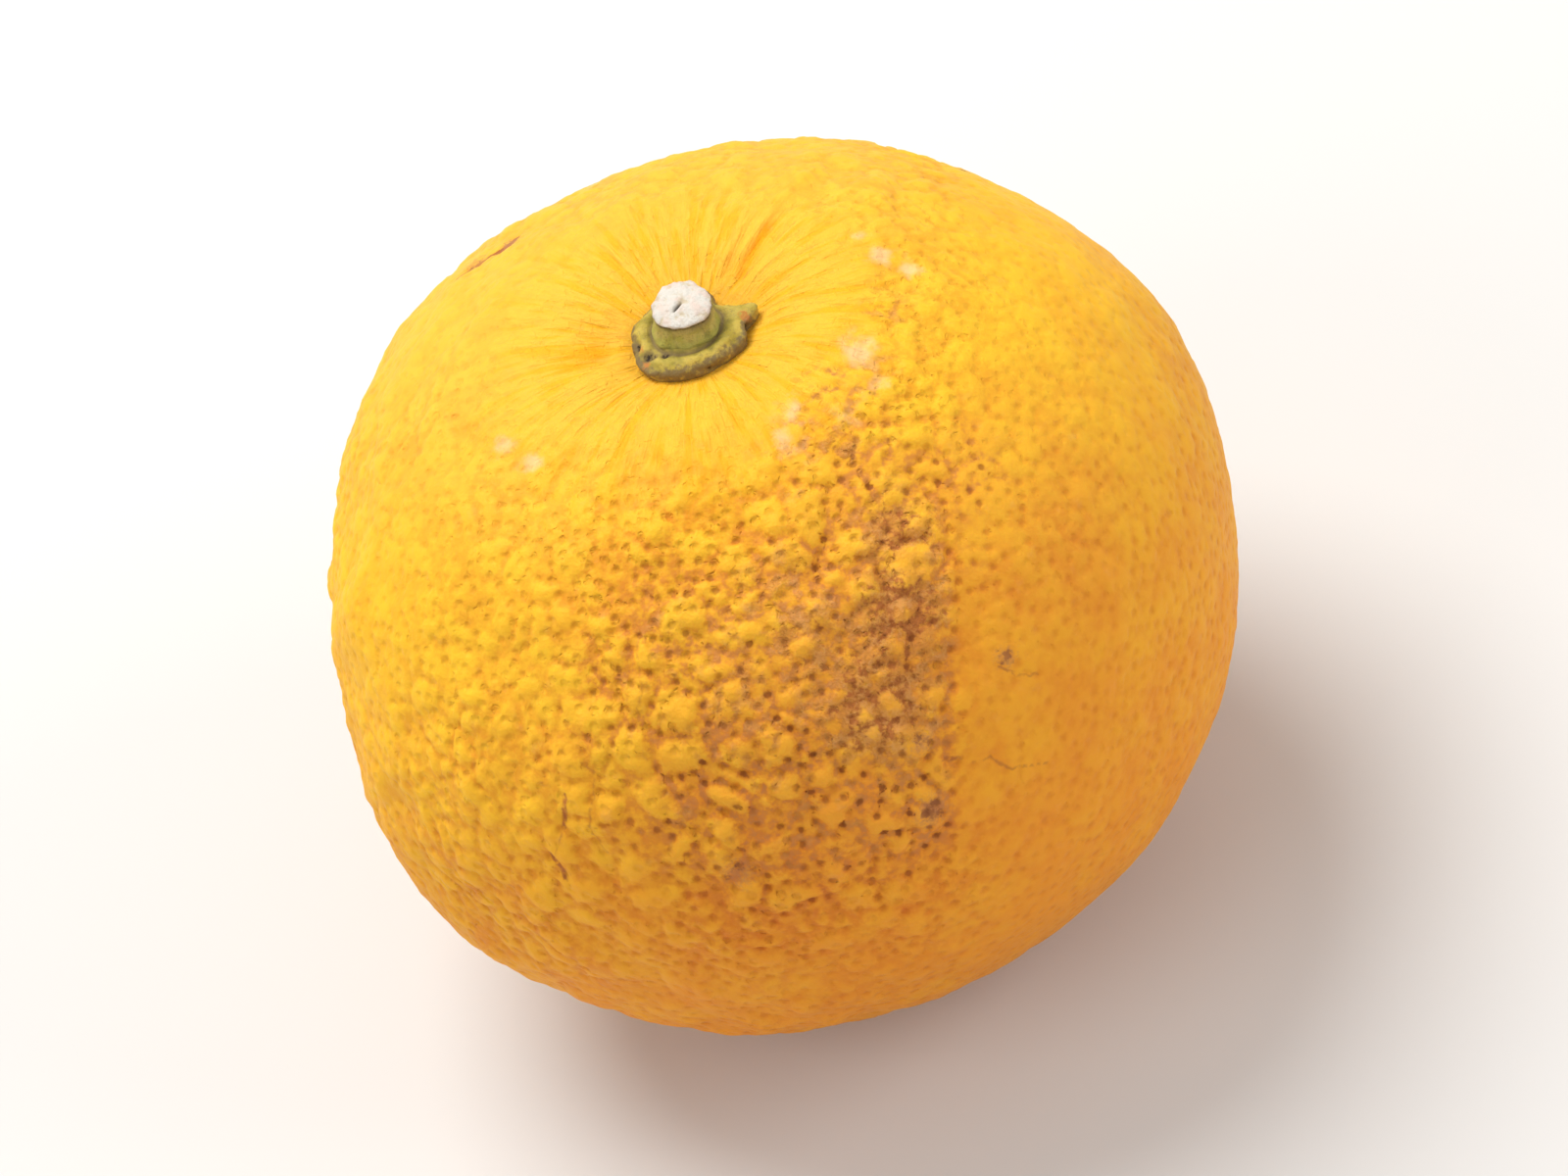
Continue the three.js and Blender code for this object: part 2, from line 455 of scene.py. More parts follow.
def settle(points, normals, height, isTop):
    # raises the skin by height, then levels the calyx's seat and the resting spot on the floor
    skin = points + normals * height[:, None]
    fromCore = np.hypot(skin[:, 0], skin[:, 1])
    out = ease(fromCore, *fruit["hug"])
    skin[:, 2] = np.where(isTop, mix(seatLevel, skin[:, 2], out), skin[:, 2])
    skin[:, 2] = np.maximum(skin[:, 2], restLevel) - restLevel
    return skin


peel = {
    "spacing": 0.390,        # between the mesh's points
    "fineSpacing": 0.26,     # round the calyx, out to the first radius, fading over the second
    "fineWithin": (11.0, 5),
    "coarseSpacing": 0.64,   # underneath, from the first depth below the middle
    "coarseBelow": (15, 8),
    "ringSeed": 3,

    "poreSpacing": 1.34,
    "poreCell": 0.866,       # the area that each pore fills, over its spacing squared
    "poreSeed": 5,
    "poreJitter": 0.4,       # share of the spacing
    "poreRoom": 0.88,        # pores nearer than this share of it push each other apart
    "porePush": 0.4,
    "pushNeighbours": 6,     # counting the pore itself
    "poreRounds": 4,
    "poreSnap": 0.45,        # a pore takes the nearest point of the mesh from as far as this
    "poreWidth": 0.42,
    "poreDepth": 0.20,
    "poreDepths": (0.5, 0.7),    # share of that in the faintest pore, and what the darkest adds
    "smoothPores": 0.2,      # share of it where there are no cobbles
    "topPores": 0.6,         # how much is lost on the tops of the cobbles
    "poreStretch": 0.35,     # how much a pore's length counts near the stem
    "stretchFade": (9, 10),
    "linkReach": 1.9,        # pores nearer than this may share a crease
    "linkChance": (0.6, 0.3, 0.12, 0.0),
    "nearPores": 4,          # the pores whose creases each point looks at
    "farGap": 3.0,           # stands for far from any crease or crack
    "fieldReach": 1.2,       # distances are kept up to this

    "cobbleSize": 2.9,
    "cobbleHeight": 0.42,
    "cobbleWarp": (3.0, 1.2),    # size and amount of the wander in their outlines
    "cobbleShoulders": (1.3, 0.6),   # each rises over these two distances from its edge
    "cobbleTop": (0.3, 0.6),     # how far in its top begins, and where it is whole
    "cobbleTopGain": 1.6,
    "cobblePatch": 11,       # size of the patches with more or fewer of them
    "cobbleShare": (0.65, 0.35, 0.4, 0.95),  # middle, sway, least and most
    "agedCobbles": 0.35,     # more of them where the peel has aged
    "cheekCobbles": 0.38,    # what is left of them on the cheek, and less near the stem and below
    "stemCalm": 0.85,
    "stemCalmFade": (10, 9),
    "belowCalm": 0.55,
    "belowCalmFade": (-2, 14),
    "lumpHeight": 0.27,      # of the skin between the pores
    "lumpWidth": 0.9,
    "soundLumps": 0.5,       # share of that where the peel hasn't aged
    "valleyCrease": (0.15, 0.8),     # valleys count as creases, from this far off and so strongly
    "roughHeight": 0.11,
    "roughSize": 1.1,
    "crackDepth": 0.20,
    "crackWidth": 0.25,
    "crackWander": (1.2, 0.18),  # size and amount
    "strandHeight": 0.09,
    "strandStart": (3.5, 2),     # how far out the strands begin, and how soon they are full
    "strandEnd": (10, 11),
    "strandRadius": 12,      # their noise is read on a ring of this size, so they run outward
    "strandDrift": 0.15,
    "cheekEdge": 3.5,        # sharp at the cheek's front, soft above and below
    "cheekSoftEdge": 26,
    "softAbove": (40, 15),   # latitude where that begins, and over how many degrees
    "softBelow": (-10, 12),  # the same, counted downward
    "agedCheek": 0.15,       # what the cheek keeps of the ageing
    "styleScar": 1.5,        # radius of the corky spot underneath
    "litPole": (100, 55),   # the skin is yellowest here, towards the key lamp, and warmer and darker away from it: partly its own tone, partly painted shade
    # a painted glare that makes the top paler towards the key lamp
    "glarePole": (110, 65),
    "glareFade": (0.5, 0.45),
    "glareShare": 0.6,

    # azimuth, latitude, radius in millimetres, strength
    "russet": [
        (-67, 44, 4.2, 0.9), (-74, 36, 5.5, 1.0), (-83, 28, 6.2, 1.0), (-88, 38, 5.5, 0.7),
        (-99, 33, 7.0, 0.55), (-115, 42, 7.5, 0.38), (-94, 18, 7.0, 0.4), (-115, 22, 8.0, 0.36),
        (-130, 32, 6.0, 0.25), (-65, 58, 3.0, 0.62), (-68, 64, 2.6, 0.5), (-18, 62, 2.6, 0.5),
        (-80, 54, 3.5, 0.4), (-89, 45, 4.5, 0.62),
    ],
    "aged": [
        (-82, 33, 13, 1.0), (-98, 24, 12.5, 0.88), (-104, 38, 11, 0.68), (-84, 14, 8.5, 0.8),
        (-114, 35, 9, 0.6), (-62, 50, 7, 0.7), (-70, 58, 6, 0.45), (-51, 64.5, 3.2, 0.75),
        (-15, 61, 3.0, 0.5), (120, -10, 14, 0.6), (20, -30, 12, 0.5),
    ],
    # dark pores just past the edge of the cheek
    "stray": [(-50, 45, 5.5, 0.6), (-60, 36, 3.5, 0.4), (-30, 5, 7, 0.2)],
    # where the skin is calmer
    "calm": [
        (178, 26, 18, 0.5), (95, 20, 14, 0.5), (135, 50, 18, 0.65), (60, 48, 15, 0.55),
        (-172, 52, 12, 0.5), (-160, 20, 12, 0.4),
    ],
    # patches that add amber, and with a negative amount take it away: partly the skin's own tone,
    # partly painted shade and painted light
    "warmAndShade": [
        (-176, 22, 20, -0.20), (-142, 24, 14, -0.22), (-112, 34, 10, -0.05), (-40, 57, 10, -0.12),
        (-8, 38, 9, -0.14), (-58, 32, 9, 0.16),
    ],
    "scars": [
        (-80, 20.8, 0.9, 0.9), (-82, 12, 1.3, 1.0), (-107, 11, 1.3, 0.8), (-64.5, 24, 0.8, 1.0),
        (118, 48, 1.0, 1.0), (124, 44, 1.2, 0.8), (35, 31, 0.8, 0.9), (60, -20, 1.3, 0.8),
        (-20, -38, 1.0, 0.7), (150, -5, 0.9, 0.8),
    ],
    # pale scuffs; those at (4.5, 61), (-1, 57.6) and (14, 62) are painted glints
    "scuffsAndGlints": [
        (-35.4, 63.9, 1.5, 1.0), (-67, 66.2, 1.5, 0.6), (-74, 63, 1.6, 0.6), (-57, 60, 1.3, 0.4),
        (-166, 60, 0.9, 0.9), (-155, 61, 1.0, 0.9), (-43, 60, 1.5, 0.5), (4.5, 61, 1.0, 1.0),
        (-1, 57.6, 1.1, 0.9), (14, 62, 0.8, 0.7), (95, 40, 1.6, 0.7), (40, -10, 2.0, 0.6),
    ],
    # fine cracks: half-width, strength, then azimuth and latitude of each bend
    "cracks": [
        (0.20, 0.9, [(-128, 22), (-129, 17)]),
        (0.08, 0.5, [(-129, 17), (-130.5, 13)]),
        (0.20, 0.9, [(-131.5, 12.8), (-129.8, 9.3)]),
        (0.16, 0.8, [(-78, 17.2), (-76, 16.4)]),
        (0.10, 0.6, [(-75, 15), (-72.6, 14.3), (-70.8, 11.5), (-66, 8.5)]),
        (0.10, 0.7, [(-66, 23.5), (-64.2, 21.1), (-61.8, 19.6)]),
        (0.11, 0.5, [(-125.5, 27), (-123.6, 25), (-124.8, 18), (-123.5, 14)]),
        (0.10, 0.4, [(-116.5, 42), (-115.8, 36.5), (-117, 32)]),
        (0.06, 0.4, [(37, 77), (35.4, 72), (34.8, 65.4)]),
        (0.36, 1.0, [(116, 47.3), (118.5, 48.6), (120.5, 46.8)]),
        (0.20, 0.9, [(121.5, 46.3), (125, 44.6), (129, 43)]),
    ],

    "paint": {
        # yellow and amber are the skin's tones; the amber away from the key lamp is partly painted
        # shade
        "yellow": (0.90, 0.503, 0.030),
        "amber": (0.80, 0.296, 0.028),
        # the painted glare on the top
        "pale": (0.91, 0.492, 0.062),
        # painted shade in the creases round the stem
        "crease": (0.86, 0.35, 0.006),
        "strand": (0.88, 0.42, 0.008),
        "gland": (0.76, 0.44, 0.56),     # a filter over the skin, as is the next
        # painted shade in the valleys between the cobbles
        "valley": (0.79, 0.53, 0.64),
        "furrow": (0.53, 0.205, 0.058),
        "pore": (0.24, 0.064, 0.014),
        "tan": (0.60, 0.25, 0.048),
        "russet": (0.42, 0.135, 0.036),
        "mauve": (0.68, 0.32, 0.095),
        "umber": (0.25, 0.075, 0.020),
        "crack": (0.40, 0.12, 0.034),
        "scar": (0.24, 0.075, 0.030),
        "ash": (0.47, 0.20, 0.085),
        # pale scuffs and painted glints
        "scuff": (0.90, 0.61, 0.34),
    },
    # how strong each tint gets at most
    "strength": {
        "strand": 0.75, "crease": 0.9, "aged": 0.09, "furrow": 0.85, "line": 0.65, "stain": 0.8,
        "mauve": 0.8, "russet": 0.92, "umber": 0.40, "halo": 0.45, "scuff": 0.6, "ash": 0.6,
        "scar": 0.6,
    },
    # size in millimetres, detail and roughness of each noise in the material
    "grains": {
        "fine": (0.30, 3, 0.6), "coarse": (1.1, 3), "mottle": (5.0, 3), "wobble": (0.45, 2),
        "strand": (1.0, 3, 0.6), "mauve": (1.6, 2), "skin": (0.28, 3, 0.6), "rumple": (0.8, 2),
    },
    "bumps": {"skin": 0.05, "rumple": 0.22, "russet": 0.22, "strand": 0.45, "dimple": -0.18},
    "roughness": (0.52, 0.68),   # of sound and of russeted skin
    "shader": {
        "Subsurface Weight": 0.14,
        "Subsurface Radius": (1.0, 0.42, 0.08),
        "Subsurface Scale": 1.4 * mm,
        "Specular IOR Level": 0.07,
    },
}


def ringSpacing(radius, level):
    spacing = mix(peel["fineSpacing"], peel["spacing"], ease(radius, *peel["fineWithin"]))
    spacing = np.where(level > 0, spacing, peel["spacing"])
    return mix(spacing, peel["coarseSpacing"], ease(-level, *peel["coarseBelow"]))


def joinRings(upper, upperCount, upperStart, lower, lowerCount, lowerStart):
    # triangles between two rings, from each ring's first point, count and turn
    faces = []
    i = j = 0
    while i < upperCount or j < lowerCount:
        nextUpper = (i + 1 + upperStart) / upperCount
        nextLower = (j + 1 + lowerStart) / lowerCount
        a, b = upper + i % upperCount, lower + j % lowerCount
        if j >= lowerCount or (i < upperCount and nextUpper < nextLower):
            i += 1
            faces.append((a, b, upper + i % upperCount))
        else:
            j += 1
            faces.append((a, b, lower + j % lowerCount))
    return faces


def ringedMesh():
    # points in rings round the core, evenly spaced, joined by triangles
    angle = np.linspace(0, math.pi, 6000)
    points, _, radius = plainForm(angle, np.zeros_like(angle))
    step = np.hypot(np.diff(radius), np.diff(points[:, 2]))
    rowHeight = math.sqrt(3) / 2 * ringSpacing(radius, points[:, 2])
    rows = np.concatenate([[0], np.cumsum(step / rowHeight[1:])])
    count = int(rows[-1])
    ringAngle = np.interp(np.arange(1, count) * rows[-1] / count, rows, angle)
    ringPoints, _, ringRadius = plainForm(ringAngle, np.zeros_like(ringAngle))
    columns = 2 * math.pi * ringRadius / ringSpacing(ringRadius, ringPoints[:, 2])
    columns = np.maximum(6, columns).astype(int)
    starts = np.random.default_rng(peel["ringSeed"]).random(len(columns))

    angles, azimuths, faces = [np.zeros(1)], [np.zeros(1)], []
    first = 1
    for k, (ring, number, start) in enumerate(zip(ringAngle, columns, starts)):
        angles.append(np.full(number, ring))
        azimuths.append((np.arange(number) + start) / number * 2 * math.pi)
        if k == 0:
            faces += [(0, first + i, first + (i + 1) % number) for i in range(number)]
        else:
            faces += joinRings(previous, columns[k - 1], starts[k - 1], first, number, start)
        previous = first
        first += number
    angles.append(np.full(1, math.pi))
    azimuths.append(np.zeros(1))
    last = columns[-1]
    faces += [(previous + (i + 1) % last, previous + i, first) for i in range(last)]
    return np.concatenate(angles), np.concatenate(azimuths), faces


def placePores():
    # even but unruly places for the oil glands, as angle from the stem and azimuth
    area = 4 * math.pi * fruit["meanRadius"] ** 2
    count = int(area / (peel["poreCell"] * peel["poreSpacing"] ** 2))
    random = np.random.default_rng(peel["poreSeed"])
    index = np.arange(count) + 0.5
    z = 1 - 2 * index / count
    places = aroundCore(np.sqrt(1 - z * z), index * math.pi * (3 - math.sqrt(5)), z)
    spacing = peel["poreSpacing"] / fruit["meanRadius"]
    places += random.normal(0, peel["poreJitter"] * spacing, places.shape)
    room = peel["poreRoom"] * spacing
    for _ in range(peel["poreRounds"]):
        places /= lengths(places)[:, None]
        tree = searchTree(places)
        pushed = places.copy()
        for i, place in enumerate(places):
            for other, _, gap in tree.find_n(place, peel["pushNeighbours"])[1:]:
                if gap < room:
                    away = (place - np.array(other)) / max(gap, 1e-6)
                    pushed[i] += away * (room - gap) * peel["porePush"]
        places = pushed
    places /= lengths(places)[:, None]
    angle = formAngle(np.hypot(places[:, 0], places[:, 1]), places[:, 2])
    return angle, np.arctan2(places[:, 1], places[:, 0]), random.random(count)


def poreField(points, angle, azimuth, radius):
    # moves the nearest point of the mesh to each pore, and gives every point its offset from a pore
    # and its distance to the creases that join some pores and to the web that joins them all
    poreAngle, poreAzimuth, poreTone = placePores()
    pores, _, _ = plainForm(poreAngle, poreAzimuth)
    meshTree = searchTree(points)
    for pore, a, b in zip(pores, poreAngle, poreAzimuth):
        _, i, gap = meshTree.find(pore)
        if gap < peel["poreSnap"]:
            angle[i], azimuth[i] = a, b
    poreTree = searchTree(pores)
    points, _, _ = plainForm(angle, azimuth)

    ranks = len(peel["linkChance"])
    partner = np.array([[hit[1] for hit in poreTree.find_n(pore, ranks + 1)[1:]] for pore in pores])
    linked = lengths(pores[partner] - pores[:, None]) < peel["linkReach"]
    draw = np.random.default_rng(peel["poreSeed"] + 1).random(linked.shape)
    creased = linked & (draw < np.array(peel["linkChance"]))
    near = [[hit[1] for hit in poreTree.find_n(point, peel["nearPores"])] for point in points]
    near = np.array(near)
    linkGap = np.full(len(points), peel["farGap"])
    webGap = linkGap.copy()
    for k in range(near.shape[1]):
        start = pores[near[:, k]]
        for rank in range(ranks):
            span = pores[partner[near[:, k], rank]] - start
            gap = lineGap(points, start, span)
            linkGap = np.where(creased[near[:, k], rank], np.minimum(linkGap, gap), linkGap)
            webGap = np.where(linked[near[:, k], rank], np.minimum(webGap, gap), webGap)

    offset = points - pores[near[:, 0]]
    around = aroundCore(1, azimuth + math.pi / 2, 0)
    up = np.cross(points / lengths(points)[:, None], around)
    sideways = np.sum(offset * around, 1)
    drawn = mix(peel["poreStretch"], 1, ease(radius, *peel["stretchFade"]))
    upward = np.sum(offset * up, 1) * np.where(points[:, 2] > 0, drawn, 1)
    poreOffset = np.stack([sideways, upward, np.zeros_like(sideways)], -1)
    return poreOffset, poreTone[near[:, 0]], linkGap, webGap


def markField(unit, marks):
    # 1 in the middle of a mark, 0 about its radius away and beyond
    field = np.zeros(len(unit))
    for azimuth, latitude, radius, strength in marks:
        gap = lengths(unit - direction(azimuth, latitude)) * fruit["markRadius"]
        field = np.maximum(field, strength * bell(gap / radius))
    return field


def crackField(points):
    # distance to the nearest crack, less its half-width, and how strong that crack is
    gap, strength = np.full(len(points), peel["farGap"]), np.zeros(len(points))
    size, amount = peel["crackWander"]
    wandered = points + amount * noiseVector(points, size, (11, 12, 13))
    for halfWidth, crackStrength, bends in peel["cracks"]:
        azimuths, latitudes = np.radians(bends).T
        angle = formAngle(np.cos(latitudes), np.sin(latitudes))
        line, _, _ = plainForm(angle, azimuths)
        for start, end in zip(line[:-1], line[1:]):
            reach = lineGap(wandered, start, end - start) - halfWidth
            strength = np.where(reach < gap, crackStrength, strength)
            gap = np.minimum(gap, reach)
    return gap, strength


def cobbleShare(points, unit, radius, isTop, aged, sharpCheek):
    # how strongly the skin is cobbled at each point
    middle, swing, least, most = peel["cobbleShare"]
    share = np.clip(middle + swing * noiseAt(points, peel["cobblePatch"], 1), least, most)
    share = share * (1 - markField(unit, peel["calm"])) + peel["agedCobbles"] * aged
    nearStem = np.where(isTop, 1 - ease(radius, *peel["stemCalmFade"]), 0)
    below = ease(-points[:, 2], *peel["belowCalmFade"])
    share = share * mix(peel["cheekCobbles"], 1, sharpCheek)
    return share * (1 - peel["stemCalm"] * nearStem) * (1 - peel["belowCalm"] * below)


def makePeel():
    angle, azimuth, faces = ringedMesh()
    points, _, radius = plainForm(angle, azimuth)
    poreOffset, poreTone, linkGap, webGap = poreField(points, angle, azimuth, radius)
    poreGap = lengths(poreOffset)
    points, normals, radius = plainForm(angle, azimuth)
    isTop = angle < math.pi / 2
    unit = points / lengths(points)[:, None]
    print("peel mesh:", len(points), "points,", len(faces), "triangles")

    latitude = np.degrees(np.arcsin(unit[:, 2]))
    softShare = np.maximum(ease(latitude, *peel["softAbove"]), ease(-latitude, *peel["softBelow"]))
    sharpCheek = offCheek(unit, mix(peel["cheekEdge"], peel["cheekSoftEdge"], softShare))
    aged = markField(unit, peel["aged"]) * mix(peel["agedCheek"], 1, sharpCheek)
    aged = np.maximum(aged, markField(unit, peel["stray"]))
    cobbled = cobbleShare(points, unit, radius, isTop, aged, sharpCheek)

    height, folded = bodyHeight(points, radius, azimuth, isTop)
    warpSize, warpAmount = peel["cobbleWarp"]
    warped = points + noiseVector(points, warpSize, (2, 3, 4)) * warpAmount
    cells = np.array([noise.voronoi(Vector(p) / peel["cobbleSize"])[0][:2] for p in warped])
    valleyGap = (cells[:, 1] - cells[:, 0]) / 2 * peel["cobbleSize"]
    wide, narrow = peel["cobbleShoulders"]
    pillow = 0.5 * smooth(valleyGap / wide) + 0.5 * smooth(valleyGap / narrow)
    height += peel["cobbleHeight"] * cobbled * (pillow - 0.5)
    least, strongly = peel["valleyCrease"]
    lump = smooth(np.minimum(linkGap, least + valleyGap * strongly) / peel["lumpWidth"]) - 0.5
    height += peel["lumpHeight"] * cobbled * mix(peel["soundLumps"], 1, aged) * lump
    height += peel["roughHeight"] * cobbled * noiseAt(points, peel["roughSize"], 7)
    onCobble = ease(valleyGap, *peel["cobbleTop"])
    onCobble = onCobble * np.clip(cobbled * peel["cobbleTopGain"], 0, 1)
    faintest, added = peel["poreDepths"]
    poreDepth = peel["poreDepth"] * mix(peel["smoothPores"], 1, np.clip(cobbled, 0, 1))
    poreDepth = poreDepth * (faintest + added * poreTone) * (1 - peel["topPores"] * onCobble)
    height -= poreDepth * bell(poreGap / peel["poreWidth"])
    crackGap, crackStrength = crackField(points)
    crack = bell(np.maximum(crackGap, 0) / peel["crackWidth"])
    height -= peel["crackDepth"] * crackStrength ** 3 * crack

    strandPlace = aroundCore(peel["strandRadius"], azimuth, radius * peel["strandDrift"])
    strands = noiseAt(strandPlace, 1.0, 8) + 0.5 * noiseAt(strandPlace, 0.5, 9)
    strandShare = ease(radius, *peel["strandStart"]) * (1 - ease(radius, *peel["strandEnd"]))
    strandShare = np.where(isTop, strandShare, 0)
    height += peel["strandHeight"] * strands * strandShare

    paleness = peel["glareShare"] * ease(unit @ direction(*peel["glarePole"]), *peel["glareFade"])
    warmth = smooth(0.5 - 0.5 * unit @ direction(*peel["litPole"]))
    for *place, amount in peel["warmAndShade"]:
        warmth += amount * markField(unit, [(*place, 1)])

    gaps = {"poreGap": poreGap, "linkGap": linkGap, "webGap": webGap, "valleyGap": valleyGap,
            "crackGap": crackGap}
    fields = {name: np.minimum(gap, peel["fieldReach"]) for name, gap in gaps.items()}
    fields |= {
        "poreOffset": poreOffset,
        "poreTone": poreTone,
        "aged": aged,
        "lumpy": cobbled,
        "onCobble": onCobble,
        "russet": markField(unit, peel["russet"]) * sharpCheek,
        "scar": markField(unit, peel["scars"]),
        "scuff": markField(unit, peel["scuffsAndGlints"]),
        "crackStrength": crackStrength,
        "crease": folded,
        "styleGap": np.where(isTop, 9, radius),
        "strandPlace": strandPlace * mm,
        "strandShare": strandShare,
        "paleness": paleness,
        "warmth": warmth,
    }
    skin = settle(points, normals, height, isTop)
    return meshPiece("peel", skin, faces, peelMaterial(), fields)


def peelMaterial():
    paint, strength, grains, bumps = (
        peel[key] for key in ("paint", "strength", "grains", "bumps"))
    material, tree, shader = newMaterial("yuzu peel")
    scalarGap, poreTone, linkGap, webGap, valleyGap, styleGap = attributes(
        tree, "poreGap poreTone linkGap webGap valleyGap styleGap")
    aged, russet, onCobble, lumpy, strandShare, scarField, scuff, warmth, paleness = attributes(
        tree, "aged russet onCobble lumpy strandShare scar scuff warmth paleness")
    crackGap, crackStrength, crease = attributes(tree, "crackGap crackStrength crease")
    fine, coarse, mottle = (grain(tree, *grains[name]) for name in ("fine", "coarse", "mottle"))
    strandPlace = attribute(tree, "strandPlace", "Vector")
    strandNoise = grain(tree, *grains["strand"], place=strandPlace)
    wobble = sway(grain(tree, *grains["wobble"]), 0.12)
    # the offset gives round pores close in, where all the points round it share one pore
    far = ramp(scalarGap, 0.30, 0.42)
    close = vectorLength(attribute(tree, "poreOffset", "Vector"))
    poreGap = plus(close, times(far, minus(scalarGap, close)))
    roughGap = plus(poreGap, times(wobble, 0.5))

    # the skin's own colour with painted shade away from the key lamp, and strands and painted shade
    # in the folds round the stem
    warmAndShade = plus(warmth, sway(mottle, 0.13), sway(coarse, 0.06))
    strand = times(ramp(strandNoise, 0.52, 0.38), strandShare, strength["strand"])
    # painted shade in the creases round the stem, deepest where they are deepest
    creaseShade = ramp(plus(crease, sway(strandNoise, -0.2)), 0.45, 1.25, 0, strength["crease"])

    # a soft tint over each gland, fainter on the strands, on the yellower skin and on the cobbles,
    # whose tops it keeps lighter, in part as painted light
    gland = times(
        ramp(poreTone, 0, 1, 0.12, 0.6), ramp(strandShare, 0, 0.6, 1, 0.45),
        ramp(warmAndShade, 0.05, 0.55, 0.3, 1), ramp(aged, 0, 0.45, 0.46, 1),
        ramp(onCobble, 0, 0.8, 1, 0.3), ramp(roughGap, 0.62, 0))
    valleyGap = plus(valleyGap, wobble)
    # painted shade in the valleys between the cobbles
    valley = times(ramp(valleyGap, 0.52, 0.02), lumpy, ramp(coarse, 0.35, 0.6, 0.45, 1))
    furrow = times(
        ramp(valleyGap, 0.28, 0), ramp(aged, 0.2, 0.8, 0, strength["furrow"]),
        ramp(coarse, 0.42, 0.56, 0.1, 1))
    # creases between the pores, browner where the peel has aged
    line = minus(plus(linkGap, wobble), ramp(aged, 0.1, 1, 0.08, 0.24))
    shown = ramp(aged, 0.2, 0.95, 0, strength["line"])
    line = times(ramp(line, 0.18, -0.16), shown, ramp(coarse, 0.40, 0.62))

    # russet: a tan stain, and over it a brown web with islands of yellow
    stain = plus(ramp(russet, 0.2, 1, -0.05, 0.66), sway(coarse, 0.28))
    stain = minus(stain, times(webGap, 0.6))
    stain = times(
        ramp(stain, -0.1, 0.5, 0, strength["stain"]), ramp(russet, 0.15, 0.4),
        ramp(onCobble, 0.2, 0.9, 1, 0.5))
    mauve = plus(grain(tree, *grains["mauve"]), sway(fine, 0.12))
    mauve = ramp(mauve, 0.46, 0.66, 0, strength["mauve"])
    stainColor = blendColor(mauve, paint["tan"], paint["mauve"])
    web = plus(ramp(russet, 0.4, 1, -0.30, 0.17), sway(fine, -0.08), sway(coarse, -0.10))
    web = ramp(minus(web, plus(webGap, wobble)), -0.20, 0.18)
    web = times(web, ramp(russet, 0.08, 0.5, 0, strength["russet"]))
    umber = ramp(fine, 0.48, 0.34, 0, strength["umber"])
    webColor = blendColor(umber, paint["russet"], paint["umber"])

    # each pore, of its own size and darkness, fainter on the cobble tops, which keeps the tops
    # lighter, in part as painted light
    size = ramp(poreTone, 0, 1, 0.13, 0.25)
    pore = times(
        ramp(poreTone, 0.35, 1.05, 0.16, 1), ramp(aged, 0.1, 0.8, 0.05, 0.9),
        ramp(russet, 0.3, 0.9, 1, 0.5), ramp(onCobble, 0, 0.9, 1, 0.25),
        ramp(minus(roughGap, size), 0.10, -0.10))

    # cracks, the corky spot underneath, scuffs with painted glints among them, and scars
    crack = times(ramp(plus(crackGap, sway(fine, 0.04)), 0.12, -0.08), crackStrength)
    styleGap = plus(styleGap, sway(coarse, 0.5))
    halo = ramp(styleGap, peel["styleScar"] + 2.2, peel["styleScar"], 0, strength["halo"])
    cork = ramp(styleGap, peel["styleScar"], peel["styleScar"] - 0.35)
    corkColor = blendColor(ramp(fine, 0.35, 0.6), paint["umber"], paint["ash"])
    scuff = plus(scuff, sway(coarse, 0.3, 0.2))
    ash = plus(scarField, sway(fine, 0.35, 0.2))
    scar = plus(minus(scarField, times(poreGap, 0.9)), sway(fine, 0.3, 0.2))

    # yellow towards the key lamp, amber away from it: the skin's tone with painted shade in it
    color = blendColor(warmAndShade, paint["yellow"], paint["amber"])
    color = coats(color, paint, [
        # painted glare on the top
        (paleness, "pale"),
        (strand, "strand"),
        (creaseShade, "crease"),
        (times(ramp(aged, 0.2, 1), strength["aged"]), "mauve"),
        (gland, "gland", "MULTIPLY"),
        (valley, "valley", "MULTIPLY"),
        (furrow, "furrow"),
        (line, "tan"),
        (stain, stainColor),
        (web, webColor),
        (pore, "pore"),
        (crack, "crack"),
        (halo, "tan"),
        (cork, corkColor),
        (ramp(scuff, 0.15, 0.95, 0, strength["scuff"]), "scuff"),
        (ramp(ash, 0.15, 0.95, 0, strength["ash"]), "ash"),
        (ramp(scar, 0.15, 0.6, 0, strength["scar"]), "scar"),
    ])

    dull = plus(ramp(web, 0, 1, *peel["roughness"]), sway(fine, 0.05))
    rumple = times(grain(tree, *grains["rumple"]), ramp(lumpy, 0, 1, 0.2, 1))
    dimple = times(ramp(poreGap, 0.50, 0), ramp(lumpy, 0.1, 1, 0.3, 1))
    normal = bump(grain(tree, *grains["skin"]), bumps["skin"])
    normal = bump(rumple, bumps["rumple"], normal)
    normal = bump(times(fine, larger(web, stain)), bumps["russet"], normal)
    normal = bump(times(strandNoise, strandShare), bumps["strand"], normal)
    normal = bump(dimple, bumps["dimple"], normal)
    finishShader(shader, color, dull, normal, peel["shader"])
    return material


peelPiece = makePeel()
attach(peelPiece, "root")
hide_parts("fruit")
print("peel dressed")


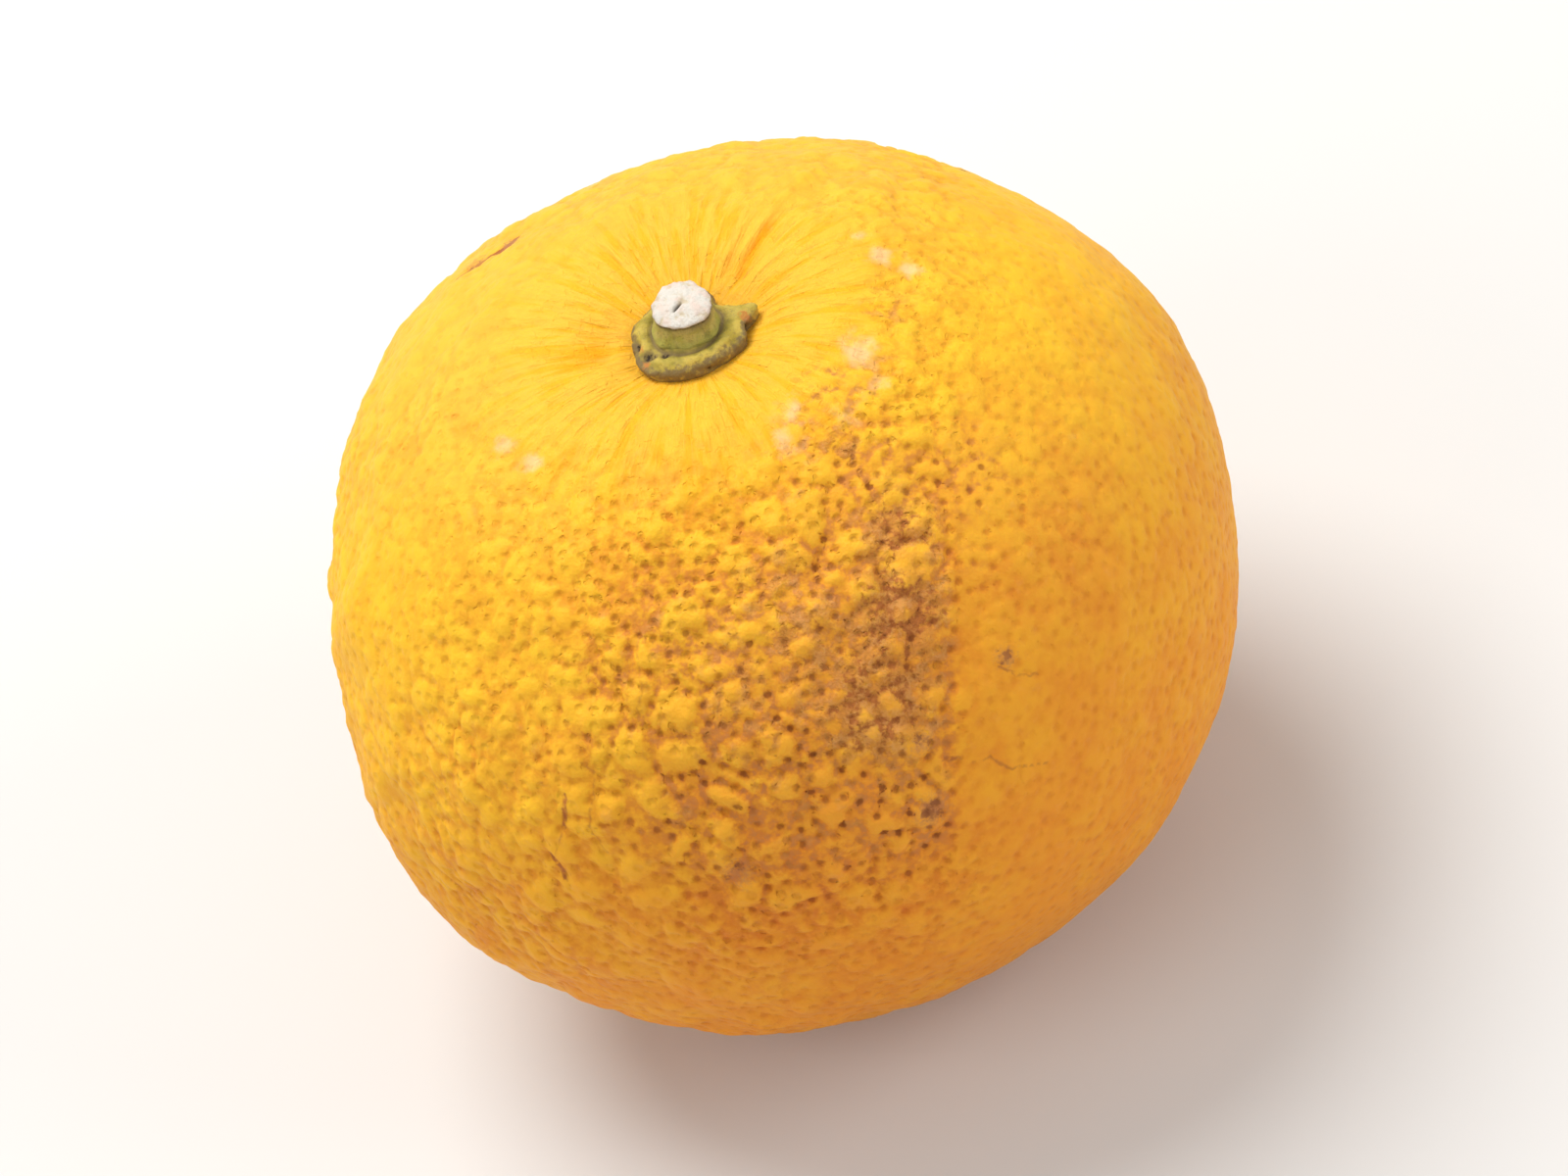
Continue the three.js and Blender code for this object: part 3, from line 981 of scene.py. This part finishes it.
def roundedProfile(corners, count):
    # a line through the corners with its corners cut, as evenly spaced (radius, height) rows
    line = np.array(corners, dtype=float)
    for _ in range(3):
        near, far = mix(line[:-1], line[1:], 0.25), mix(line[:-1], line[1:], 0.75)
        line = np.concatenate([line[:1], np.stack([near, far], 1).reshape(-1, 2), line[-1:]])
    along = np.concatenate([[0], np.cumsum(np.hypot(*np.diff(line, axis=0).T))])
    stops = np.linspace(0, along[-1], count)
    return np.interp(stops, along, line[:, 0]), np.interp(stops, along, line[:, 1])


def turnedFaces(rows, columns):
    # rows of points round an axis, with one point at each end
    faces = [(0, 1 + i, 1 + (i + 1) % columns) for i in range(columns)]
    for row in range(rows - 3):
        here, below = 1 + row * columns, 1 + (row + 1) * columns
        for i in range(columns):
            after = (i + 1) % columns
            faces.append((here + i, below + i, below + after, here + after))
    last = 1 + (rows - 2) * columns
    ring = last - columns
    faces += [(ring + (i + 1) % columns, ring + i, last) for i in range(columns)]
    return faces


def turnedPoints(corners, rows, columns):
    # radius, height and azimuth of each point, in the order that turnedFaces expects
    radius, height = roundedProfile(corners, rows)
    turn = np.arange(columns) / columns * 2 * math.pi
    inner = slice(1, -1)
    height = np.concatenate([height[:1], np.repeat(height[inner], columns), height[-1:]])
    azimuth = np.concatenate([[0], np.tile(turn, rows - 2), [0]])
    return np.concatenate([[0], np.repeat(radius[inner], columns), [0]]), height, azimuth


calyx = {
    "rimRadius": 4.1,
    "rimHeight": 1.15,
    "crownRadius": 2.75,
    "crownHeight": 1.65,
    "tongueLift": 0.35,   # of the long lobe's tip, from this far out
    "tongueStart": (4.2, 1.3),
    "sunk": 0.5,          # how far the underside reaches into the peel
    "columns": 220,
    "rows": 56,
    "foldHeight": 0.12,
    "lumpHeight": 0.11,
    "ragged": (0.035, 0.02),  # coarse and fine unevenness of the rim
    "channelDepth": 0.25,     # where the rim reaches out less than this
    "channelReach": (4.15, 0.5),
    # azimuth, reach, half-width of each lobe and of the torn gap
    "lobes": [
        (358, 5.5, 10), (30, 3.3, 15), (76, 4.5, 20), (148, 4.45, 22), (214, 4.6, 28),
        (328, 4.75, 20),
    ],
    # x, y, height, radius, depth of each pit, painted dark as the shade in it; the two near x 3.6
    # and 4.15 are the hollow under the long lobe
    "pits": [
        (-3.85, 0.0, 1.1, 0.36, 0.5), (-3.3, -1.3, 1.2, 0.44, 0.6), (-2.9, -1.7, 1.2, 0.34, 0.5),
        (-2.2, -2.0, 1.25, 0.34, 0.4), (3.6, -2.1, 0.55, 0.50, 0.4), (4.15, -1.4, 0.6, 0.50, 0.45),
        (2.9, -2.9, 0.4, 0.34, 0.25), (0.6, -4.05, 0.5, 0.25, 0.15),
    ],
    # x, y, height, radius of each rusty spot
    "rusts": [(-3.55, -0.5, 1.2, 0.4), (4.3, -0.75, 1.1, 0.6), (-3.6, -1.9, 0.9, 0.45)],
    "paint": {
        "olive": (0.42, 0.32, 0.040),
        "green": (0.24, 0.20, 0.030),
        "straw": (0.59, 0.445, 0.08),
        "edge": (0.19, 0.13, 0.055),
        # painted shade in the pits
        "pit": (0.030, 0.016, 0.008),
        "rust": (0.55, 0.20, 0.045),
    },
    "grains": {
        "patches": (1.3, 3), "fine": (0.22, 4, 0.65), "moss": (1.8,), "worn": (0.5, 4, 0.6),
        "skin": (0.6, 3),
    },
    "bumps": {"fine": 0.10, "skin": 0.12},
    "roughness": (0.55, 0.8),
    "shader": {
        "Specular IOR Level": 0.3,
        "Subsurface Weight": 0.08,
        "Subsurface Radius": (1.0, 0.6, 0.2),
        "Subsurface Scale": 0.5 * mm,
    },
}


def rimReach(azimuth):
    reach = np.full_like(azimuth, calyx["rimRadius"])
    for lobeAzimuth, lobeReach, halfWidth in calyx["lobes"]:
        share = bell(turnBetween(azimuth, math.radians(lobeAzimuth)) / math.radians(halfWidth))
        reach += (lobeReach - calyx["rimRadius"]) * share
    return reach


def nearSpot(points, x, y, z, size):
    return bell(lengths(points - (x, y, z)) / size)


def makeCalyx():
    rim, crown, top = calyx["rimRadius"], calyx["crownRadius"], calyx["crownHeight"]
    shoulder, sunk = calyx["rimHeight"], calyx["sunk"]
    corners = [
        (0, top), (crown * 0.84, top), (crown * 0.90, top - 0.25),   # the collar
        (crown * 0.97, top - 0.42), (crown * 1.08, top - 0.14),      # the groove round it
        (crown * 1.24, top - 0.08), (rim * 0.92, shoulder), (rim * 0.99, shoulder * 0.8),
        (rim, 0.5), (rim * 0.97, 0), (rim * 0.9, -sunk), (0, -sunk),
    ]
    radius, height, azimuth = turnedPoints(corners, calyx["rows"], calyx["columns"])
    outward = ease(radius, crown * 0.8, rim - crown * 0.8)
    around = aroundCore(1, azimuth, height * 0.3)
    coarse, fine = calyx["ragged"]
    ragged = 1 + coarse * noiseAt(around * 4, 1.0, 21) + fine * noiseAt(around * 10, 1.0, 22)
    lobed = rimReach(azimuth)
    reach = radius * mix(1, lobed / rim * ragged, outward)
    points = aroundCore(reach, azimuth, height)

    onTop = ease(height, -0.1, 0.5)
    folds = noiseAt(aroundCore(4, azimuth, radius * 0.5), 1.0, 23)
    lumps = noiseAt(points, 1.1, 24) + 0.5 * noiseAt(points, 0.5, 25)
    raised = calyx["foldHeight"] * folds * outward + calyx["lumpHeight"] * lumps
    points[:, 2] += onTop * raised
    points[:, 2] += calyx["tongueLift"] * ease(reach, *calyx["tongueStart"]) * onTop
    channelReach, channelFade = calyx["channelReach"]
    between = ease(-lobed, -channelReach, channelFade)
    points[:, 2] -= calyx["channelDepth"] * between * outward * onTop
    # pits go down on the top and inward on the wall
    onWall = ease(reach / lobed, 0.88, 0.08)
    inward = aroundCore(-onWall, azimuth, onWall - 1)
    pit, rust = np.zeros(len(points)), np.zeros(len(points))
    for *place, size, depth in calyx["pits"]:
        near = nearSpot(points, *place, size)
        points += (depth * near)[:, None] * inward
        pit = np.maximum(pit, near)
    for spot in calyx["rusts"]:
        rust = np.maximum(rust, nearSpot(points, *spot))
    edge = ease(reach / (lobed * 0.97), 0.80, 0.2) * (1 - 0.6 * ease(reach, 4.7, 0.4) * onTop)
    points[:, 2] += seatHeight
    fields = {
        "edge": edge,
        "pit": pit,
        "rust": rust,
        "collar": 1 - ease(radius, crown * 0.95, 0.9),
        "groove": bell((radius - crown * 0.96) / 0.18),
        "lumps": lumps,
    }
    faces = turnedFaces(calyx["rows"], calyx["columns"])
    return meshPiece("calyx_button", points, faces, calyxMaterial(), fields)


def calyxMaterial():
    paint, grains, bumps = (calyx[key] for key in ("paint", "grains", "bumps"))
    material, tree, shader = newMaterial("dry calyx")
    edge, pit, rust, lumps, collar, groove = attributes(
        tree, "edge pit rust lumps collar groove")
    patches, fine, moss, worn, skin = (
        grain(tree, *grains[name]) for name in ("patches", "fine", "moss", "worn", "skin"))
    rim = plus(edge, sway(worn, 0.3))
    color = blendColor(ramp(patches, 0.35, 0.62), paint["olive"], paint["straw"])
    color = coats(color, paint, [
        (times(collar, ramp(moss, 0.35, 0.6)), "green"),
        # raised lumps paler straw and low ones darker green: partly the calyx's own colour, partly
        # painted light on the tops and painted shade in the hollows
        (ramp(lumps, 0.05, -0.6, 0, 0.75), "green"),
        (ramp(lumps, 0.15, 0.7, 0, 0.6), "straw"),
        # painted shade in the groove round the collar
        (times(groove, 0.9), "edge"),
        (ramp(rim, 0.45, 1.05, 0, 0.9), "edge"),
        (ramp(fine, 0.48, 0.30, 0, 0.4), "edge"),
        (ramp(plus(rust, sway(fine, 0.25)), 0.35, 0.85, 0, 0.85), "rust"),
        # painted shade in and round the pits
        (ramp(pit, 0.05, 0.4, 0, 0.7), "edge"),
        (ramp(plus(pit, sway(fine, 0.2)), 0.35, 0.7), "pit"),
    ])
    dull = ramp(fine, 0.2, 0.8, *calyx["roughness"])
    normal = bump(fine, bumps["fine"], bump(skin, bumps["skin"]))
    finishShader(shader, color, dull, normal, calyx["shader"])
    return material


stub = {
    "radius": 2.4,
    "height": 2.2,
    "lean": (0.11, 0.02),
    "cutSlope": 0.15,
    "capLine": 1.95,      # where the bark ends and the pale cut begins
    "sunk": 0.35,
    "columns": 180,
    "rows": 72,
    "crack": (-0.35, -0.35, 0.50, 0.13),  # x, y, half-length, half-width
    "crackDepth": 0.5,
    "crown": 0.30,        # how far the cut bulges
    "barkWrinkles": 0.08,
    "cutRough": 0.09,
    "paint": {
        "cut": (0.72, 0.68, 0.61),
        "cutShade": (0.58, 0.47, 0.30),
        "pink": (0.74, 0.61, 0.53),
        "bark": (0.53, 0.45, 0.13),
        "green": (0.43, 0.40, 0.085),
        "shade": (0.25, 0.19, 0.085),
        "dark": (0.055, 0.040, 0.022),
    },
    "grains": {"fine": (0.16, 4, 0.65), "patches": (0.9, 2)},
    "bump": 0.10,
    "roughness": (0.7, 0.9),
    "shader": {"Specular IOR Level": 0.25},
}


def makeStub():
    radius, top, line, sunk = (stub[key] for key in ("radius", "height", "capLine", "sunk"))
    corners = [
        (0, top), (radius * 0.55, top), (radius * 0.82, top - 0.04), (radius * 0.92, top - 0.12),
        (radius * 0.95, line), (radius * 0.90, line - 0.10),   # the cut's edge stands proud
        (radius * 0.90, line - 0.25), (radius * 0.93, line - 0.5), (radius * 0.96, 0.7),
        (radius * 1.02, 0.25), (radius * 1.08, -0.1), (radius, -sunk), (0, -sunk),
    ]
    ringRadius, height, azimuth = turnedPoints(corners, stub["rows"], stub["columns"])
    section = 0.97 + 0.04 * np.cos(2 * azimuth + 1) + 0.03 * np.cos(3 * azimuth + 2)
    section += 0.015 * np.cos(7 * azimuth)
    points = aroundCore(ringRadius * section, azimuth, height)
    onCap = ease(height - line, -0.05, 0.12)
    outer = smooth(ringRadius / radius)
    away = points / np.maximum(lengths(points[:, :2]), 0.3)[:, None]
    wrinkles = noiseAt(aroundCore(5, azimuth, height * 1.1), 1.0, 31)
    rough = noiseAt(points, 0.75, 32) + 0.6 * noiseAt(points, 0.35, 33)
    rough += 0.35 * noiseAt(points, 0.16, 34)
    push = outer * mix(stub["barkWrinkles"] * wrinkles, stub["cutRough"] * rough, onCap)
    points[:, :2] += away[:, :2] * push[:, None]
    crackX, crackY, length, width = stub["crack"]
    along, across = points[:, 0] - crackX, points[:, 1] - crackY
    crack = bell((along * 0.8 + across * 0.6) / length)
    crack = crack * bell((across * 0.8 - along * 0.6) / width) * onCap
    bulge = stub["crown"] * (1 - (ringRadius / radius) ** 2)
    points[:, 2] += onCap * (0.10 * rough + bulge - stub["crackDepth"] * crack)
    risen = np.maximum(height, 0)
    points[:, 2] += stub["cutSlope"] * points[:, 1] * risen / top
    points[:, 0] += stub["lean"][0] * risen
    points[:, 1] += stub["lean"][1] * risen
    points[:, 2] += seatHeight + calyx["crownHeight"]

    # a ragged dark line of painted shade under the cut's proud edge, and painted shade below it
    # that is deepest to the right
    ragged = 0.16 * noiseAt(aroundCore(3, azimuth, 0), 1.0, 35)
    seam = bell((height - line + 0.14 + ragged) / 0.15)
    shaded = bell((height - line + 0.30 + ragged) / 0.45)
    fields = {
        "cap": smooth((height - line + 0.10 + ragged) / 0.10),
        "crack": crack,
        "seam": seam * smooth(ringRadius / radius * 3 - 1.8),
        "shaded": shaded * mix(0.35, 1, smooth(0.5 + 0.6 * np.cos(azimuth + 0.3))),
        "rough": rough,
        "wrinkles": wrinkles,
        "low": 1 - smooth(height / 0.8),
    }
    faces = turnedFaces(stub["rows"], stub["columns"])
    return meshPiece("stem_end", points, faces, stubMaterial(), fields)


def stubMaterial():
    paint, grains = stub["paint"], stub["grains"]
    material, tree, shader = newMaterial("cut stalk")
    cap, crack, seam, shaded, rough, wrinkles, low = attributes(
        tree, "cap crack seam shaded rough wrinkles low")
    fine, patches = grain(tree, *grains["fine"]), grain(tree, *grains["patches"])
    cut = blendColor(ramp(patches, 0.42, 0.65), paint["cut"], paint["pink"])
    cut = coats(cut, paint, [
        (ramp(rough, -0.05, -0.75, 0, 0.85), "cutShade"),
        (ramp(fine, 0.45, 0.25, 0, 0.5), "cutShade"),
    ])
    bark = blendColor(ramp(patches, 0.4, 0.6), paint["bark"], paint["green"])
    color = coats(bark, paint, [
        (times(low, 0.7), "green"),
        (ramp(wrinkles, -0.1, -0.7, 0, 0.4), "dark"),
        (ramp(fine, 0.50, 0.30, 0, 0.35), "dark"),
        (times(shaded, ramp(patches, 0.35, 0.6, 0.45, 0.85)), "shade"),
        (cap, cut),
        # painted shade line under the cut
        (times(seam, ramp(fine, 0.25, 0.6, 0.3, 1)), "dark"),
        (ramp(crack, 0.15, 0.6, 0, 0.65), "dark"),
    ])
    dull = ramp(fine, 0.2, 0.8, *stub["roughness"])
    finishShader(shader, color, dull, bump(fine, stub["bump"]), stub["shader"])
    return material


calyxPiece = makeCalyx()
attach(calyxPiece, "root")
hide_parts("calyx")
print("calyx dressed")

stubPiece = makeStub()
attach(stubPiece, "root")
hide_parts("stem_stub")
print("stub dressed")
